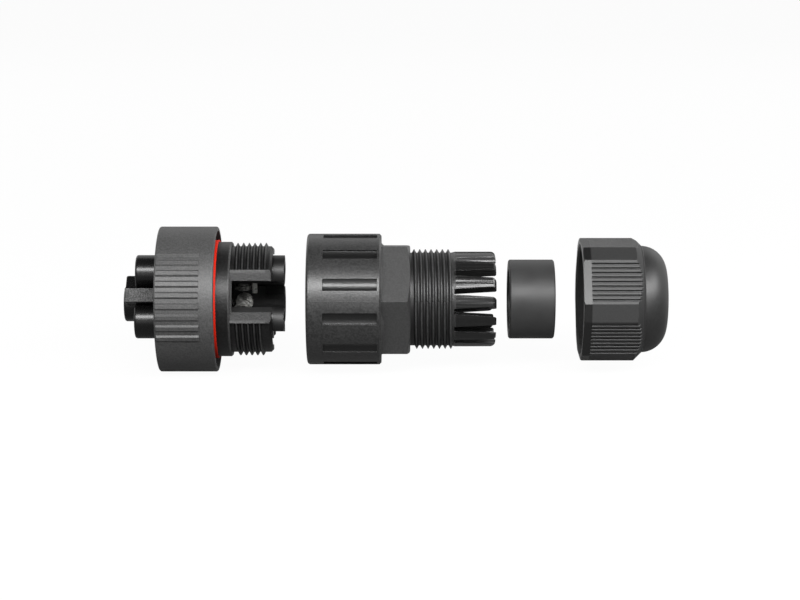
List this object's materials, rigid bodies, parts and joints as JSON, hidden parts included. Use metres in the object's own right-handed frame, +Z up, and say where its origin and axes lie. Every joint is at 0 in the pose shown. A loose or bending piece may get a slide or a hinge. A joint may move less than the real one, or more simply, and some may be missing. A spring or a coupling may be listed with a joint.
{
  "type": "waterproof cable plug",
  "caption": "Black round waterproof power plug drawn apart in line: socket insert with coupling ring, fluted housing with claw fingers, rubber seal and domed gland nut.",
  "frame": {"origin": "on the plug's axis, at the front of the coupling ring", "axes": "+X along the plug's axis, from the mating side to the cable; +Z up; the plug lies on its side"},
  "size_m": [0.1439, 0.0392, 0.0384],
  "materials": {
    "ring_plastic": "satin",
    "sleeve_plastic": "satin",
    "carrier_plastic": "semi-gloss",
    "housing_plastic": "satin",
    "nut_plastic": "satin",
    "orange_rubber": "matte",
    "seal_rubber": "matte",
    "contact_brass": "machined",
    "screw_steel": "zinc plated"
  },
  "bodies": {
    "insert": {"threaded_sleeve": "sleeve_plastic", "socket_carrier": "carrier_plastic", "flange_gasket": "orange_rubber", "mating_seal": "orange_rubber", "contact_earth": "contact_brass", "contact_line": "contact_brass", "contact_neutral": "contact_brass"},
    "ring": {"coupling_ring": "ring_plastic"},
    "screw_earth": {"terminal_screw_earth": "screw_steel"},
    "screw_line": {"terminal_screw_line": "screw_steel"},
    "screw_neutral": {"terminal_screw_neutral": "screw_steel"},
    "housing": {"housing": "housing_plastic"},
    "seal": {"gland_seal": "seal_rubber"},
    "nut": {"gland_nut": "nut_plastic"}
  },
  "joints": [
    {"name": "ring_lock", "type": "hinge", "parent": "insert", "child": "ring", "pos_m": [0, 0, 0], "axis": [1, 0, 0], "range_deg": [0, 45]},
    {"name": "screw_earth_turn", "type": "hinge", "parent": "insert", "child": "screw_earth", "pos_m": [0.022, 0, 0], "axis": [0, 0.9205, -0.3907], "range_deg": [-720, 180]},
    {"name": "screw_line_turn", "type": "hinge", "parent": "insert", "child": "screw_line", "pos_m": [0.022, 0, 0], "axis": [0, -0.1219, 0.9925], "range_deg": [-720, 180]},
    {"name": "screw_neutral_turn", "type": "hinge", "parent": "insert", "child": "screw_neutral", "pos_m": [0.022, 0, 0], "axis": [0, -0.7986, -0.6018], "range_deg": [-720, 180]},
    {"name": "housing_close", "type": "slide", "parent": "insert", "child": "housing", "axis": [-1, 0, 0], "range_m": [0, 0.0233]},
    {"name": "seal_insert", "type": "slide", "parent": "housing", "child": "seal", "axis": [-1, 0, 0], "range_m": [0, 0.0171]},
    {"name": "nut_close", "type": "slide", "parent": "seal", "child": "nut", "axis": [-1, 0, 0], "range_m": [0, 0.024]}
  ]
}
